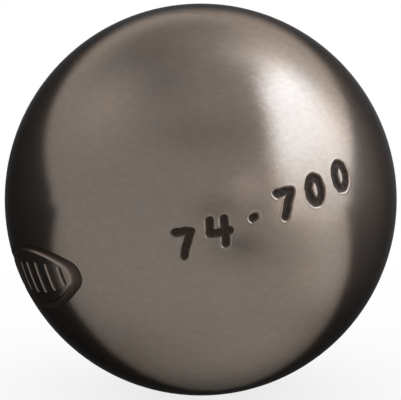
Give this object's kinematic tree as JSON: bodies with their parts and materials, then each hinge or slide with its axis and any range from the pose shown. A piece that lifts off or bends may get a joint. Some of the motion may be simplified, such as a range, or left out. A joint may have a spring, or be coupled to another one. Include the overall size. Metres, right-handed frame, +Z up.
{
  "type": "petanque boule",
  "caption": "Hollow steel ball for throwing in petanque: half shells located by a spigot, welded round their joint and turned smooth, with engraved numbers and a stamped oval.",
  "frame": {"origin": "centre of the ball", "axes": "+Z up as the boule lies in the picture, with the marks facing -Y; the marking circle's axis leans 19.7 degrees from +Z towards -X, and the weld's plane holds that axis"},
  "size_m": [0.074, 0.074, 0.074],
  "materials": {
    "satin_steel": "hardened carbon steel, turned and satin finished, warm grey, with dark scale left in the cut marks",
    "weld_steel": "weld metal turned flush and satin finished with the half shells"
  },
  "bodies": {
    "root": {"marked_half_shell": "satin_steel", "plain_half_shell": "satin_steel", "weld_bead": "weld_steel"}
  },
  "joints": []
}
